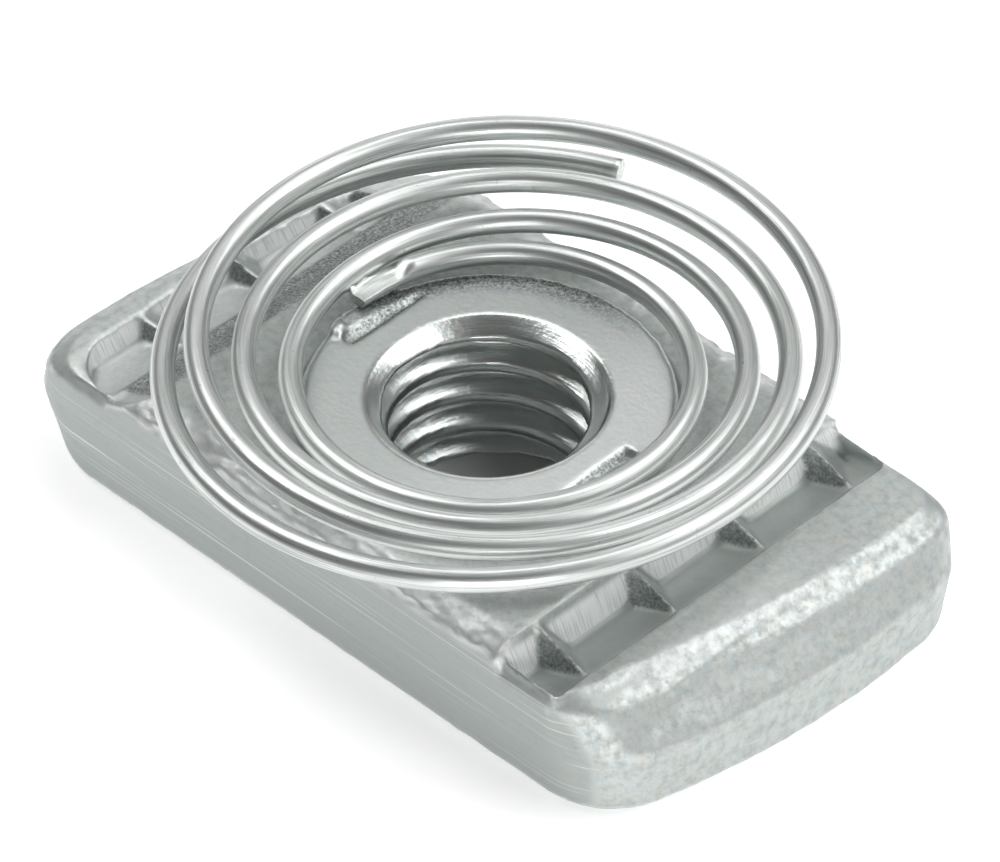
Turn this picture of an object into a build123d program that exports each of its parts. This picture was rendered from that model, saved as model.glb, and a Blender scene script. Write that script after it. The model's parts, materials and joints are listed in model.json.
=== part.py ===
from build123d import *
import math
import os

# Strut spring nut, 3/8-16: a forged steel channel nut with a conical holding
# spring staked round its boss.  Millimetres, +Z up out of the bore, X along the
# nut, origin on the thread axis in the flat bottom face.

# ---- nut blank -------------------------------------------------------------
NUT_LENGTH = 35.0          # over the rounded ends
NUT_WIDTH = 18.9           # flat side to flat side
WAIST_HEIGHT = 2.8         # where the ends are longest
SHOULDER_HEIGHT = 4.5      # where the ends begin to round over
END_LAND_HEIGHT = 5.1      # top of the two end lands
FOOT_ROUND = 0.25          # edge round the bottom face
FOOT_SETBACK = 0.25        # ends stand in by this much at the foot
SHOULDER_SETBACK = 0.65
TOP_SETBACK = 2.0
TOP_SIDE_SETBACK = 0.35    # long sides round over by this much at the end lands
NOSE_CUT = 5.0             # length taken off the two relieved corners
NOSE_DEPTH = 2.9           # depth of the relief across the width
NOSE_SETBACK = 1.5         # where a relieved corner meets the end, from the nut's end
NOSE_SHOULDER_SETBACK = 2.9
NOSE_TOP_SETBACK = 4.2
NOSE_BOW = 0.8             # outward bow of the relieved corner
NOSE_SHOULDER_BOW = 0.5
NOSE_TOP_BOW = 0.2
END_BOW = 0.55             # outward bow of the end between its corners
END_RETURN = 0.055         # full corners sit this far inside the ends' furthest point
FULL_FOOT_R = 3.2          # right-hand full corner
FULL_WAIST_R = 2.8
FULL_SHOULDER_R = 1.9
FULL_TOP_R = 1.4
WORN_FOOT_R = 4.3          # left-hand full corner, rounder at its foot
WORN_WAIST_R = 3.1
WORN_SHOULDER_R = 2.5
WORN_TOP_R = 2.0

# ---- central land and boss ---------------------------------------------------
LAND_HEIGHT = 5.9
LAND_LEFT_X = -9.9
LAND_SIDE_HEIGHT = 5.4     # where the long edge bevels begin
LAND_BEVEL = 0.9           # width of the long edge bevels
BOSS_DIAMETER = 14.8
BOSS_HEIGHT = 6.65
BOSS_EDGE_R = 0.25

# ---- thread bore -------------------------------------------------------------
BORE_DIAMETER = 7.9        # tapping size of 3/8-16
COUNTERSINK_D = 9.6
COUNTERSINK_ANGLE = 120.0  # included

# ---- lip grooves ---------------------------------------------------------------
GROOVE_VALLEY_Z = 3.6
GROOVE_RUN = 2.6           # valley to the high end of the sloping floor
GROOVE_RISE = 1.25         # rise of the floor over that run
RIGHT_WALL_X = 10.0        # foot of the steep wall, right-hand groove
LEFT_WALL_X = -14.55       # foot of the steep wall, left-hand groove
WALL_LEAN = 0.1            # lean of a steep wall per unit height
GROOVE_SIDE_WALL = 0.45    # metal left between a groove and the long sides
GROOVE_CORNER_R = 2.2
LEFT_GROOVE_FAR_Y = 6.6

# ---- gripping ribs ---------------------------------------------------------------
RIB_PITCH = 4.87
RIB_BASE = 1.6             # width of a rib where it meets the steep wall
RIGHT_RIB_FIRST_Y = -7.25
RIGHT_RIB_COUNT = 4
LEFT_RIB_FIRST_Y = -4.9
LEFT_RIB_COUNT = 3
RIB_RIDGE_DROP = 0.08      # ridge starts this far below the wall top

# ---- stake marks -------------------------------------------------------------------
STAKE_OFFSET_X = 6.55
STAKE_LENGTH = 4.2
STAKE_WIDTH = 0.7
STAKE_DEPTH = 0.35
STAKE_FIRST_Y = -2.6

# ---- conical spring -----------------------------------------------------------
# The centre line is a law of u, 0 at the staked inner end and 1 at the free end.
# Radii and heights of that law are in wire diameters, so the turns keep clear of
# each other when the wire changes.
WIRE_DIAMETER = 1.0
SPRING_SEAT_OFFSET = 0.38      # first turn, outside the boss radius
SPRING_END_RADIUS = 5.59       # free end, outside the boss radius
SPRING_RADIUS_WAVES = (0.125, -0.586, -0.093, -0.273, -0.105, -0.193)
SPRING_SEAT_LIFT = 0.55        # inner end, centre above the boss face
SPRING_END_LIFT = 1.31         # free end, centre above the boss face
SPRING_LIFT_WAVES = (1.469, -0.805, 0.253, -0.123, -0.141, 0.249)
SPRING_SEAT_SHIFT = (0.37, 0.62)     # centre of the first turn, off the thread axis
SPRING_END_SHIFT = (0.61, 0.19)
SPRING_TURNS = 4.195
SPRING_START_ANGLE = 184.0     # degrees from +X; the coil runs clockwise outward
STATIONS_PER_TURN = 12
ARC_SHARE = 0.48               # of the run between two corners, taken by each corner's arc

HALF_L = NUT_LENGTH / 2
HALF_W = NUT_WIDTH / 2


def bowed(a, b, bow):
    """Arc from a to b bowed to the right of the direction of travel."""
    mx = (a[0] + b[0]) / 2
    my = (a[1] + b[1]) / 2
    dx = b[0] - a[0]
    dy = b[1] - a[1]
    run = math.hypot(dx, dy)
    mid = (mx + bow * dy / run, my - bow * dx / run)
    return ThreePointArc(a, mid, b)


def rounded_corner(a, b, centre, radius):
    """Quarter arc from a to b about centre."""
    ang_a = math.atan2(a[1] - centre[1], a[0] - centre[0])
    ang_b = math.atan2(b[1] - centre[1], b[0] - centre[0])
    if ang_b < ang_a:
        ang_b = ang_b + 2 * math.pi
    mid = (ang_a + ang_b) / 2
    m = (centre[0] + radius * math.cos(mid), centre[1] + radius * math.sin(mid))
    return ThreePointArc(a, m, b)


def plan_section(z, reach, half_w, nose_x, nose_bow, full_r, worn_r):
    """Outline of the nut at height z, anticlockwise from the near right-hand corner.

    The near right and far left corners are relieved; the far right and near
    left corners are full and rounded.
    """
    edge_x = HALF_L - NOSE_CUT
    a = (edge_x, -half_w)
    b = (nose_x, -half_w + NOSE_DEPTH)
    c = (reach, half_w - full_r)
    d = (reach - full_r, half_w)
    e = (-edge_x, half_w)
    f = (-nose_x, half_w - NOSE_DEPTH)
    g = (-reach, -half_w + worn_r)
    h = (-reach + worn_r, -half_w)
    with BuildLine() as line:
        add(bowed(a, b, nose_bow))
        add(bowed(b, c, END_BOW))
        add(rounded_corner(c, d, (reach - full_r, half_w - full_r), full_r))
        add(Line(d, e))
        add(bowed(e, f, nose_bow))
        add(bowed(f, g, END_BOW))
        add(rounded_corner(g, h, (-reach + worn_r, -half_w + worn_r), worn_r))
        add(Line(h, a))
    return make_face(line.line).moved(Location((0, 0, z)))


def nut_blank():
    """Blank whose ends are longest at the waist and round over at the shoulder."""
    reach = HALF_L - END_RETURN
    foot_reach = reach - FOOT_SETBACK
    nose = HALF_L - NOSE_SETBACK
    base = plan_section(0, foot_reach - FOOT_ROUND, HALF_W - FOOT_ROUND,
                        nose - FOOT_ROUND, NOSE_BOW, FULL_FOOT_R, WORN_FOOT_R)
    foot = plan_section(FOOT_ROUND, foot_reach, HALF_W,
                        nose, NOSE_BOW, FULL_FOOT_R, WORN_FOOT_R)
    waist = plan_section(WAIST_HEIGHT, reach, HALF_W,
                         nose, NOSE_BOW, FULL_WAIST_R, WORN_WAIST_R)
    shoulder = plan_section(SHOULDER_HEIGHT, reach - SHOULDER_SETBACK, HALF_W,
                            HALF_L - NOSE_SHOULDER_SETBACK, NOSE_SHOULDER_BOW,
                            FULL_SHOULDER_R, WORN_SHOULDER_R)
    top = plan_section(END_LAND_HEIGHT, reach - TOP_SETBACK, HALF_W - TOP_SIDE_SETBACK,
                       HALF_L - NOSE_TOP_SETBACK, NOSE_TOP_BOW, FULL_TOP_R, WORN_TOP_R)
    levels = [base, foot, waist, shoulder, top]
    body = loft(levels[:2], ruled=True)
    for lower, upper in zip(levels[1:], levels[2:]):
        body = body + loft([lower, upper], ruled=True)
    return body


def central_land():
    """Raised middle, sloping down into the left groove and bevelled along its sides."""
    low = GROOVE_VALLEY_Z - 1.0
    slope_foot = LEFT_WALL_X + GROOVE_RUN
    floor_high = GROOVE_VALLEY_Z + GROOVE_RISE
    wall_top = RIGHT_WALL_X - WALL_LEAN * (LAND_HEIGHT - GROOVE_VALLEY_Z)
    with BuildPart() as length_wise:
        with BuildSketch(Plane.XZ):
            with BuildLine():
                Polyline((slope_foot, low), (RIGHT_WALL_X, low),
                         (RIGHT_WALL_X, GROOVE_VALLEY_Z), (wall_top, LAND_HEIGHT),
                         (LAND_LEFT_X, LAND_HEIGHT), (slope_foot, floor_high),
                         close=True)
            make_face()
        extrude(amount=HALF_W, both=True)
    with BuildPart() as cross_wise:
        with BuildSketch(Plane.YZ):
            with BuildLine():
                Polyline((-HALF_W, low), (HALF_W, low), (HALF_W, LAND_SIDE_HEIGHT),
                         (HALF_W - LAND_BEVEL, LAND_HEIGHT),
                         (-HALF_W + LAND_BEVEL, LAND_HEIGHT),
                         (-HALF_W, LAND_SIDE_HEIGHT), close=True)
            make_face()
        extrude(amount=HALF_L, both=True)
    return length_wise.part & cross_wise.part


def boss():
    floor = LAND_HEIGHT - 1.0
    body = Cylinder(BOSS_DIAMETER / 2, BOSS_HEIGHT - floor,
                    align=(Align.CENTER, Align.CENTER, Align.MIN))
    body = body.moved(Location((0, 0, floor)))
    rim = body.edges().sort_by(Axis.Z)[-1]
    return fillet(rim, BOSS_EDGE_R)


def groove_prism(wall_x, near_y, far_y):
    """Cutter for one groove: steep wall, valley and sloping floor."""
    z0 = GROOVE_VALLEY_Z
    above = LAND_HEIGHT + 1.0
    wall_top = wall_x - WALL_LEAN * (above - z0)
    floor_x = wall_x + GROOVE_RUN
    floor_z = z0 + GROOVE_RISE
    with BuildPart() as cutter:
        with BuildSketch(Plane.XZ.offset(-near_y)):
            with BuildLine():
                Polyline((wall_x, z0), (floor_x, floor_z), (floor_x + 0.3, above),
                         (wall_top, above), close=True)
            make_face()
        extrude(amount=-(far_y - near_y))
    return cutter.part


def right_groove():
    near = -HALF_W + GROOVE_SIDE_WALL
    return groove_prism(RIGHT_WALL_X, near, -near)


def left_groove():
    """Left groove, its near outer corner rounded with the nut's own corner."""
    near = -HALF_W + GROOVE_SIDE_WALL
    prism = groove_prism(LEFT_WALL_X, near, LEFT_GROOVE_FAR_Y)
    west = LEFT_WALL_X - 1.0
    east = LEFT_WALL_X + GROOVE_RUN + 0.4
    corner = LEFT_WALL_X - 0.15
    with BuildPart() as keep:
        with BuildSketch():
            with BuildLine():
                p = (corner, near + GROOVE_CORNER_R)
                q = (corner + GROOVE_CORNER_R, near)
                k = GROOVE_CORNER_R * (1 - math.sqrt(0.5))
                ThreePointArc(p, (corner + k, near + k), q)
                Polyline(q, (east, near), (east, HALF_W), (west, HALF_W),
                         (west, near + GROOVE_CORNER_R), p)
            make_face()
        extrude(amount=LAND_HEIGHT + 2.0)
    return prism & keep.part


def rib(wall_x, wall_top_z, near_y):
    """Wedge rib: upright near face, sharp ridge, sloping far flank."""
    z0 = GROOVE_VALLEY_Z
    sink = 0.3
    crest_z = wall_top_z - RIB_RIDGE_DROP
    crest_x = wall_x - WALL_LEAN * (crest_z - z0)
    tip_x = wall_x + GROOVE_RUN
    tip_z = z0 + GROOVE_RISE
    with BuildPart() as wedge:
        with BuildSketch(Plane.XZ.offset(-near_y)):
            with BuildLine():
                Polyline((wall_x - sink, z0 - sink), (tip_x, tip_z - sink), (tip_x, tip_z),
                         (crest_x, crest_z), (crest_x - sink, crest_z), close=True)
            make_face()
        extrude(amount=-RIB_BASE)
    crest = Vector(crest_x, near_y, crest_z)
    tip = Vector(tip_x, near_y, tip_z)
    foot = Vector(wall_x, near_y + RIB_BASE, z0)
    across = (tip - crest).cross(foot - crest)
    flank = Plane(origin=crest, x_dir=tip - crest, z_dir=across)
    keep = Keep.BOTTOM if across.Z > 0 else Keep.TOP
    return split(wedge.part, bisect_by=flank, keep=keep)


def ribs():
    found = []
    for i in range(RIGHT_RIB_COUNT):
        found.append(rib(RIGHT_WALL_X, LAND_HEIGHT, RIGHT_RIB_FIRST_Y + i * RIB_PITCH))
    for i in range(LEFT_RIB_COUNT):
        found.append(rib(LEFT_WALL_X, END_LAND_HEIGHT, LEFT_RIB_FIRST_Y + i * RIB_PITCH))
    return found


def bore_cutter():
    """Tapping bore, countersunk at the boss."""
    mouth = COUNTERSINK_D / 2
    bore = BORE_DIAMETER / 2
    depth = (mouth - bore) / math.tan(math.radians(COUNTERSINK_ANGLE / 2))
    past = 1.0
    flare = mouth + past * math.tan(math.radians(COUNTERSINK_ANGLE / 2))
    with BuildPart() as cutter:
        with BuildSketch(Plane.XZ):
            with BuildLine():
                Polyline((0, -past), (bore, -past), (bore, BOSS_HEIGHT - depth),
                         (mouth, BOSS_HEIGHT), (flare, BOSS_HEIGHT + past),
                         (0, BOSS_HEIGHT + past), close=True)
            make_face()
        revolve(axis=Axis.Z)
    return cutter.part


def vee(plane, half, depth, proud):
    """V-shaped face on a plane that looks along +Y, its mouth raised above the metal."""
    corners = [(-half, -proud), (half, -proud), (0, depth)]
    points = [plane.from_local_coords(Vector(x, y, 0)) for x, y in corners]
    return Face(Wire.make_polygon(points, close=True))


def stake_gouge(side):
    """Chisel mark beside the bore: a V that widens and deepens along its length."""
    half = STAKE_WIDTH / 2
    tip_half = half * 0.2
    tip_depth = STAKE_DEPTH * 0.2
    proud = 0.2
    tip = Plane(origin=(0, STAKE_FIRST_Y, 0), x_dir=(1, 0, 0), z_dir=(0, 1, 0))
    end = Plane(origin=(0, STAKE_FIRST_Y + STAKE_LENGTH, 0), x_dir=(1, 0, 0), z_dir=(0, 1, 0))
    small = vee(tip, tip_half, tip_depth, proud)
    large = vee(end, half, STAKE_DEPTH, proud)
    gouge = loft([small, large], ruled=True)
    gouge = gouge.moved(Location((STAKE_OFFSET_X, 0, BOSS_HEIGHT)))
    turn = 0 if side > 0 else 180
    return gouge.moved(Location((0, 0, 0), (0, 0, turn)))


def nut_body():
    body = nut_blank() + central_land() + boss()
    body = body - right_groove() - left_groove()
    for wedge in ribs():
        body = body + wedge
    body = body - bore_cutter()
    return body - stake_gouge(1) - stake_gouge(-1)


def spring_station(u, outset=1.0):
    """Point of the spring's centre line at u; outset pushes it out from the coil's axis."""
    radius = SPRING_SEAT_OFFSET + (SPRING_END_RADIUS - SPRING_SEAT_OFFSET) * u
    for k, wave in enumerate(SPRING_RADIUS_WAVES, start=1):
        radius = radius + wave * math.sin(k * math.pi * u)
    lift = SPRING_SEAT_LIFT + (SPRING_END_LIFT - SPRING_SEAT_LIFT) * u
    for k, wave in enumerate(SPRING_LIFT_WAVES, start=1):
        lift = lift + wave * math.sin(k * math.pi * u)
    radius = (BOSS_DIAMETER / 2 + WIRE_DIAMETER * radius) * outset
    shift_x = SPRING_SEAT_SHIFT[0] + (SPRING_END_SHIFT[0] - SPRING_SEAT_SHIFT[0]) * u
    shift_y = SPRING_SEAT_SHIFT[1] + (SPRING_END_SHIFT[1] - SPRING_SEAT_SHIFT[1]) * u
    angle = math.radians(SPRING_START_ANGLE - 360 * SPRING_TURNS * u)
    return Vector(radius * math.cos(angle) + shift_x, radius * math.sin(angle) + shift_y,
                  BOSS_HEIGHT + WIRE_DIAMETER * lift)


def coil_path():
    """Tangent arcs along the coil: its corners stand outside the curve, midway between stations."""
    steps = round(SPRING_TURNS * STATIONS_PER_TURN)
    outset = 1 / math.cos(math.pi / STATIONS_PER_TURN)
    points = [spring_station(0)]
    for i in range(steps):
        points.append(spring_station((i + 0.5) / steps, outset))
    points.append(spring_station(1))
    runs = [(b - a).length for a, b in zip(points, points[1:])]
    runs[0] = runs[0] * 2
    runs[-1] = runs[-1] * 2
    radii = []
    for i in range(1, len(points) - 1):
        turn = (points[i] - points[i - 1]).get_angle(points[i + 1] - points[i])
        shorter = min(runs[i - 1], runs[i])
        radii.append(ARC_SHARE * shorter / math.tan(math.radians(turn) / 2))
    return FilletPolyline(*points, radius=radii)


def cone_spring():
    path = coil_path()
    section = Plane(origin=path @ 0, z_dir=path % 0) * Circle(WIRE_DIAMETER / 2)
    return sweep(section, path=path)


os.makedirs("parts", exist_ok=True)
export_step(nut_body(), "parts/nut_body.step")
export_step(cone_spring(), "parts/cone_spring.step")
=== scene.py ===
"""Looks of a zinc plated 3/8-16 strut spring nut, laid out as a Blender add-on.

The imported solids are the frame: the nut body and its conical spring are rebuilt round them with
a cut thread, worn forged edges, stake burrs and sheared wire ends.  All lengths are metres.
"""

import json
import math

import bmesh
import bpy
import numpy as np
from bpy.props import FloatProperty, FloatVectorProperty, IntProperty, PointerProperty, StringProperty
from mathutils import Matrix, Vector, noise
from mathutils.kdtree import KDTree


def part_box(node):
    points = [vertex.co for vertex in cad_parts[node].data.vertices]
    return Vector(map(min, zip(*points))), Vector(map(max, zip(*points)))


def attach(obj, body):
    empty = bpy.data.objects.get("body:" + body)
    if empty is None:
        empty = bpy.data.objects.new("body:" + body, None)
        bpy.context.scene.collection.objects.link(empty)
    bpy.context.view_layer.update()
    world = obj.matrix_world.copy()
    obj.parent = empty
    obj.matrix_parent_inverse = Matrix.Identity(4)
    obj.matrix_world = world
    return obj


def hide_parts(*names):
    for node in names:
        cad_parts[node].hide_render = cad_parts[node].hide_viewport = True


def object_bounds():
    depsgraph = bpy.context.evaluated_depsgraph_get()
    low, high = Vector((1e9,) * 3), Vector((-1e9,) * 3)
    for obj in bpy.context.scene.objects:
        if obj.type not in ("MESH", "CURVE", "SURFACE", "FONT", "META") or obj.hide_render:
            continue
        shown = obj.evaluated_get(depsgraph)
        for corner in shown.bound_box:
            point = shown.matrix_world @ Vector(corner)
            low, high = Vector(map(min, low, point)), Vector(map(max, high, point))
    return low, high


bl_info = {
    "name": "Strut spring nut",
    "version": (1, 0, 0),
    "blender": (4, 5, 0),
    "location": "3D View > Sidebar > Spring nut",
    "description": "Builds a zinc plated strut spring nut and its studio",
    "category": "Object",
}

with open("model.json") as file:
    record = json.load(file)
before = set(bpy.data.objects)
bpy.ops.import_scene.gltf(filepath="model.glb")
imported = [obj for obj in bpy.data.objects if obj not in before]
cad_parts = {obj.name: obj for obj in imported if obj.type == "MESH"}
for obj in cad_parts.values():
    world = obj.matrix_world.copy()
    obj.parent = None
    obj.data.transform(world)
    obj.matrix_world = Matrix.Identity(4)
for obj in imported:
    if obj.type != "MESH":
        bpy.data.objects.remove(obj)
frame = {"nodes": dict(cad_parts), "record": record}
CAD_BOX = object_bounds()

MM = 0.001
NUT_LOW, NUT_HIGH = (Vector(corner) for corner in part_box("nut_body"))
BOSS_TOP = NUT_HIGH.z
THREAD = next(m for m in frame["record"]["mounts"] if m["name"] == "thread")
MINOR_RADIUS = THREAD["dims"]["r_mm"] * MM
BORE_WALL = THREAD["dims"]["length_mm"] * MM
# heights on the end walls, in mm: the soft crease, the shoulder and the land
CREASE, SHOULDER, END_TOP = 2.8, 4.5, 5.1
# the steep wall of each trough and the height of its top, in mm
TROUGHS = ((10.0, 5.9), (-14.55, 5.1))
# the chisel that staked the boss, in mm: its width, length and depth, and its middle beside the bore
CHISEL_SIZE, CHISEL_PLACE = (0.64, 4.1, 0.60), (6.22, -0.45)
# facets round the bore cutters, and steps in one turn of the tap
FACETS, TAP_STEPS = 160, 96
# most triangles that the nut body keeps
NUT_TRIANGLES = 185000


# ---------------------------------------------------------------- settings


class NutSettings(bpy.types.PropertyGroup):
    """Sizes of the nut body's fine forms."""

    major_diameter: FloatProperty(
        name="Thread diameter", description="Major diameter of the tapped thread",
        default=9.525 * MM, unit="LENGTH", precision=5)
    pitch: FloatProperty(
        name="Thread pitch", description="Rise of the thread in one turn",
        default=1.5875 * MM, unit="LENGTH", precision=5)
    thread_start: FloatProperty(
        name="Thread start", description="Turn of the thread about the bore at the bottom face",
        default=math.radians(0), subtype="ANGLE")
    skin: FloatProperty(
        name="Skin spacing", description="Spacing of the points that carry the forged surface",
        default=0.13 * MM, unit="LENGTH", precision=5)
    edge_wear: FloatProperty(
        name="Edge wear", description="Greatest depth that tumbling took off the sharp edges",
        default=0.07 * MM, unit="LENGTH", precision=5)
    wall_lean: FloatProperty(
        name="Wall lean", description="How far the foot of each punched wall stands out and up",
        default=0.85 * MM, unit="LENGTH", precision=5)
    end_flat: FloatProperty(
        name="End flat", description="How far the end walls are drawn in between crest and crease",
        default=0.30 * MM, unit="LENGTH", precision=5)
    scale_depth: FloatProperty(
        name="Forging scale", description="Depth of the mottled forged skin",
        default=0.018 * MM, unit="LENGTH", precision=5)


class SpringSettings(bpy.types.PropertyGroup):
    """Sizes of the conical spring's wire."""

    wire_diameter: FloatProperty(
        name="Wire diameter", description="Diameter of the drawn spring wire",
        default=1.0 * MM, unit="LENGTH", precision=5)
    turns: FloatProperty(
        name="Turns", description="Turns from the staked end to the free end", default=4.195)
    start_angle: FloatProperty(
        name="Start angle", description="Direction of the staked end from the nut's length",
        default=math.radians(184.0), subtype="ANGLE")
    crushed: FloatProperty(
        name="Crushed end", description="Length of wire that the stake squashed",
        default=2.2 * MM, unit="LENGTH", precision=5)
    boss_diameter: FloatProperty(
        name="Boss diameter", description="Boss that the first turn goes round",
        default=14.8 * MM, unit="LENGTH", precision=5)
    seat_reach: FloatProperty(
        name="Seat reach", description="First turn, outside the boss, in wire diameters", default=0.38)
    end_reach: FloatProperty(
        name="End reach", description="Free end, outside the boss, in wire diameters", default=5.59)
    reach_waves: FloatVectorProperty(
        name="Reach waves", description="Swings of the coil's radius, in wire diameters", size=6,
        default=(0.125, -0.586, -0.093, -0.273, -0.105, -0.193))
    seat_lift: FloatProperty(
        name="Seat lift", description="Staked end above the boss face, in wire diameters", default=0.55)
    end_lift: FloatProperty(
        name="End lift", description="Free end above the boss face, in wire diameters", default=1.31)
    lift_waves: FloatVectorProperty(
        name="Lift waves", description="Swings of the coil's height, in wire diameters", size=6,
        default=(1.469, -0.805, 0.253, -0.123, -0.141, 0.249))
    seat_shift: FloatVectorProperty(
        name="Seat shift", description="Centre of the first turn off the thread, in millimetres", size=2,
        default=(0.37, 0.62))
    end_shift: FloatVectorProperty(
        name="End shift", description="Centre of the last turn off the thread, in millimetres", size=2,
        default=(0.61, 0.19))
    sides: IntProperty(name="Sides", description="Facets round the wire", default=24, min=8)
    step: FloatProperty(
        name="Step", description="Spacing of the rings along the wire",
        default=0.35 * MM, unit="LENGTH", precision=5)


class StudioSettings(bpy.types.PropertyGroup):
    """Floor, lights and camera."""

    azimuth: FloatProperty(
        name="Azimuth", description="Camera's direction round the nut, 0 looks along +Y",
        default=math.radians(45.96), subtype="ANGLE")
    elevation: FloatProperty(
        name="Elevation", description="Camera's height above the horizon",
        default=math.radians(41.94), subtype="ANGLE")
    roll: FloatProperty(
        name="Roll", description="Camera's turn about its own axis",
        default=math.radians(-1.37), subtype="ANGLE")
    distance: FloatProperty(
        name="Distance", description="Camera to the point it aims at",
        default=330.7 * MM, unit="LENGTH")
    focal_length: FloatProperty(
        name="Focal length", description="Lens on a 36 mm sensor, in millimetres", default=302.4)
    aim: FloatVectorProperty(
        name="Aim", description="Point that the camera looks at", default=(-1.40 * MM, 1.94 * MM, 2.63 * MM),
        subtype="TRANSLATION", unit="LENGTH")
    floor_size: FloatProperty(
        name="Floor size", description="Side of the paper ground", default=3.0, unit="LENGTH")
    shade_hex: StringProperty(
        name="Under the bore", description="Paper in the shade under the nut, sRGB hex", default="D2D4D3")
    floor_hex: StringProperty(name="Floor", description="Floor colour, sRGB hex", default="F6F6F6")
    table_glow: FloatProperty(name="Table glow", description="Light that comes up through the paper", default=0.50)
    room_hex: StringProperty(name="Room", description="Colour of the soft room, sRGB hex", default="FFFFFF")
    room_light: FloatProperty(name="Room light", description="Strength of the soft room", default=0.115)
    light_distance: FloatProperty(
        name="Light distance", description="Nut to each softbox", default=0.7, unit="LENGTH")
    back_low: FloatProperty(name="Low back light", description="Softbox at the back", default=0.6, unit="POWER")
    back_high: FloatProperty(
        name="High back light", description="Softbox above the back", default=0.52, unit="POWER")
    back_right_high: FloatProperty(
        name="Back right light", description="Softbox above the back right", default=1.3, unit="POWER")
    right_high: FloatProperty(name="Right light", description="Softbox at the right", default=1.2, unit="POWER")
    back_left_high: FloatProperty(
        name="Back left light", description="Softbox above the back left", default=1.3, unit="POWER")
    right_low: FloatProperty(
        name="Low right light", description="Softbox low at the right", default=0.3, unit="POWER")
    front_low: FloatProperty(name="Front light", description="Softbox under the camera", default=1.75, unit="POWER")
    front_right: FloatProperty(
        name="Front right light", description="Softbox at the front right", default=0.25, unit="POWER")


class FinishSettings(bpy.types.PropertyGroup):
    """Colours and gloss of the zinc plate."""

    zinc_hex: StringProperty(
        name="Zinc", description="Bright zinc electroplate, sRGB hex", default="C8CDCB")
    blue_hex: StringProperty(
        name="Blue tint", description="Plate where its film is thin, sRGB hex", default="C0CACB")
    straw_hex: StringProperty(
        name="Straw tint", description="Plate where its film is thick, sRGB hex", default="CDCCC5")
    # also the colour that the painted shade in creases, on the right trough floor and on the long sides is mixed
    # towards
    dull_and_shade_hex: StringProperty(
        name="Dull zinc", description="Plate over rough forged skin, sRGB hex", default="858D8A")
    worn_hex: StringProperty(
        name="Worn zinc", description="Plate rubbed bright on the edges, sRGB hex", default="F1F3F2")
    drawn_hex: StringProperty(
        name="Die lines", description="Plate in the wire's die lines, sRGB hex", default="A9AFAC")
    wire_hex: StringProperty(
        name="Wire", description="Zinc plate on drawn wire, sRGB hex", default="DFE2E0")
    # dark colour of the painted shade specks on the ribs' flanks, the left slope, the stake marks and the boss's
    # back rim
    shade_speck_hex: StringProperty(
        name="Torn zinc", description="Plate in the pits of torn skin, sRGB hex", default="636967")
    turned_roughness: FloatProperty(
        name="Turned roughness", description="Gloss of the countersink and thread", default=0.28, subtype="FACTOR")
    nut_roughness: FloatProperty(
        name="Nut roughness", description="Gloss of the tumbled plate", default=0.40, subtype="FACTOR")
    wire_roughness: FloatProperty(
        name="Wire roughness", description="Gloss of the drawn wire", default=0.34, subtype="FACTOR")


# ---------------------------------------------------------------- small helpers


def linear(code):
    """An sRGB hex colour as linear RGBA."""
    values = [int(code[i:i + 2], 16) / 255 for i in (0, 2, 4)]
    return [v / 12.92 if v <= 0.04045 else ((v + 0.055) / 1.055) ** 2.4 for v in values] + [1.0]


def add(tree, kind, settings=(), values=(), links=()):
    """Adds a node with its settings, its input values and the sockets linked into it."""
    made = tree.nodes.new(kind)
    for key, value in dict(settings).items():
        setattr(made, key, value)
    for key, value in dict(values).items():
        made.inputs[key].default_value = value
    for key, socket in dict(links).items():
        tree.links.new(socket, made.inputs[key])
    return made


def new_material(name):
    """An empty node material and its tree."""
    material = bpy.data.materials.new(name)
    material.use_nodes = True
    material.node_tree.nodes.clear()
    return material, material.node_tree


def make_object(name, bm, material=None):
    """A shown object from a bmesh."""
    mesh = bpy.data.meshes.new(name)
    bm.to_mesh(mesh)
    bm.free()
    made = bpy.data.objects.new(name, mesh)
    bpy.context.scene.collection.objects.link(made)
    if material:
        mesh.materials.append(material)
    return made


def settle(made):
    """Applies an object's modifiers to its mesh."""
    graph = bpy.context.evaluated_depsgraph_get()
    mesh = bpy.data.meshes.new_from_object(made.evaluated_get(graph))
    old = made.data
    made.modifiers.clear()
    made.data = mesh
    bpy.data.meshes.remove(old)


def discard(made):
    """Removes a helper object and its mesh."""
    mesh = made.data
    bpy.data.objects.remove(made)
    bpy.data.meshes.remove(mesh)


def points_of(mesh, what="co"):
    """Vertex positions or normals as rows."""
    rows = np.empty(len(mesh.vertices) * 3, dtype=np.float32)
    mesh.vertices.foreach_get(what, rows)
    return rows.reshape(-1, 3).astype(float)


def put_points(mesh, rows):
    """Writes vertex positions."""
    mesh.vertices.foreach_set("co", rows.astype(np.float32).ravel())
    mesh.update()


def grain(rows, size, seed, octaves=3):
    """Fractal noise at each row, about -1 to 1, with features of the given size."""
    shift = Vector((seed * 7.31, seed * 3.17, seed * 5.73))
    return np.array([noise.fractal(Vector(row) / size + shift, 1.0, 2.0, octaves) for row in rows])


def step_up(values, low, high):
    """Smooth rise from 0 at low to 1 at high."""
    t = np.clip((values - low) / (high - low), 0.0, 1.0)
    return t * t * (3 - 2 * t)


def put_attribute(mesh, name, values):
    """Stores one number for each vertex."""
    layer = mesh.attributes.new(name, "FLOAT", "POINT")
    layer.data.foreach_set("value", values.astype(np.float32))


# ---------------------------------------------------------------- nut body, in millimetres


def node_copy(name):
    """A merged copy of a CAD node, in millimetres."""
    bm = bmesh.new()
    bm.from_mesh(frame["nodes"][name].data)
    bmesh.ops.remove_doubles(bm, verts=bm.verts, dist=1e-7)
    bmesh.ops.scale(bm, vec=(1 / MM, 1 / MM, 1 / MM), verts=bm.verts)
    return bm


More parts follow.
